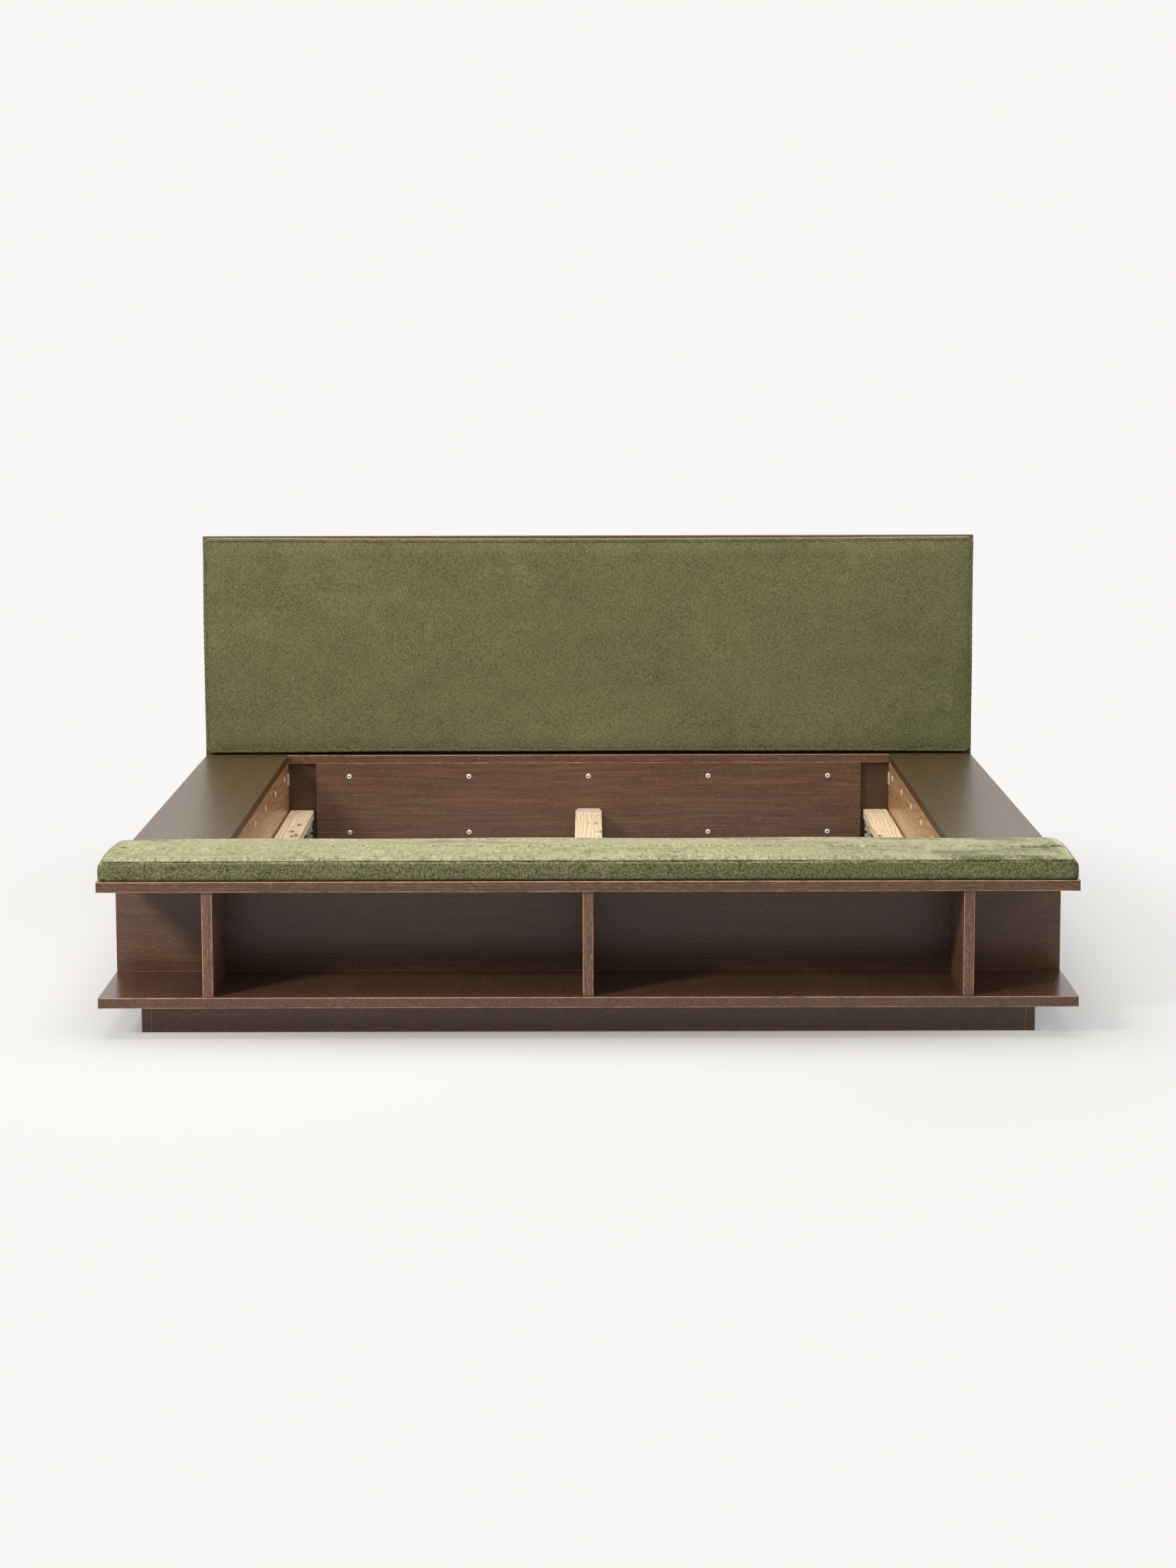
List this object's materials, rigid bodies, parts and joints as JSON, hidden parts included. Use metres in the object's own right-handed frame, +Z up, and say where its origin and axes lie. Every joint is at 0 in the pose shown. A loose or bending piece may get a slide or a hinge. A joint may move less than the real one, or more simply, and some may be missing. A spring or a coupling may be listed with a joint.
{
  "type": "bed",
  "caption": "Low platform bed with an upholstered headboard, wide wooden side borders, an open shelf bench with a cushion at the foot, and an open well with height-adjustable slat battens",
  "frame": {"origin": "middle of the bounding box at floor level", "axes": "X across the bed, +Y from the foot to the head along its length, Z up"},
  "size_m": [2.31, 2.46, 1.03],
  "materials": {
    "dark_oak": "dark brown stained oak veneer, satin",
    "dark_base": "dark brown stained plinth boards, matt",
    "pine": "planed pale pine",
    "upholstery": "moss green chenille with a soft nap",
    "zinc_steel": "galvanised sheet steel",
    "bright_steel": "bright zinc plated steel",
    "cam_cover": "pale beige plastic",
    "felt": "dark grey felt"
  },
  "bodies": {
    "frame": {"beam_hanger_foot": "bright_steel", "beam_hanger_head": "bright_steel", "bench_top_board": "dark_oak", "centre_divider": "dark_oak", "foot_panel": "dark_oak", "head_panel": "dark_oak", "headboard_board": "dark_oak", "headboard_bolts": "bright_steel", "headboard_cushion": "upholstery", "headboard_fixing_board": "dark_oak", "left_batten": "pine", "left_batten_clip": "zinc_steel", "left_batten_shoes": "zinc_steel", "left_border_board": "dark_oak", "left_bottom_board": "dark_oak", "left_box_ribs": "dark_oak", "left_cam_covers": "cam_cover", "left_corner_plate": "zinc_steel", "left_divider": "dark_oak", "left_foot_comb": "zinc_steel", "left_head_comb": "zinc_steel", "left_inner_panel": "dark_oak", "left_outer_panel": "dark_oak", "lower_shelf_board": "dark_oak", "plinth_cross_rail": "dark_base", "plinth_front": "dark_base", "plinth_left": "dark_base", "plinth_left_runner": "dark_base", "plinth_rear": "dark_base", "plinth_right": "dark_base", "plinth_right_runner": "dark_base", "rear_border_board": "dark_oak", "rear_bottom_board": "dark_oak", "right_batten": "pine", "right_batten_clip": "zinc_steel", "right_batten_shoes": "zinc_steel", "right_border_board": "dark_oak", "right_bottom_board": "dark_oak", "right_box_ribs": "dark_oak", "right_cam_covers": "cam_cover", "right_corner_plate": "zinc_steel", "right_divider": "dark_oak", "right_foot_comb": "zinc_steel", "right_head_comb": "zinc_steel", "right_inner_panel": "dark_oak", "right_outer_panel": "dark_oak"},
    "bench_cushion": {"bench_cushion": "upholstery"},
    "centre_beam": {"centre_beam": "pine", "centre_leg": "pine", "centre_leg_pad": "felt"}
  },
  "joints": [
    {"name": "bench_cushion_lift", "type": "slide", "parent": "frame", "child": "bench_cushion", "axis": [0, 0, 1], "range_m": [0, 0.35]},
    {"name": "centre_beam_lift", "type": "slide", "parent": "frame", "child": "centre_beam", "axis": [0, 0, 1], "range_m": [0, 0.2]}
  ]
}
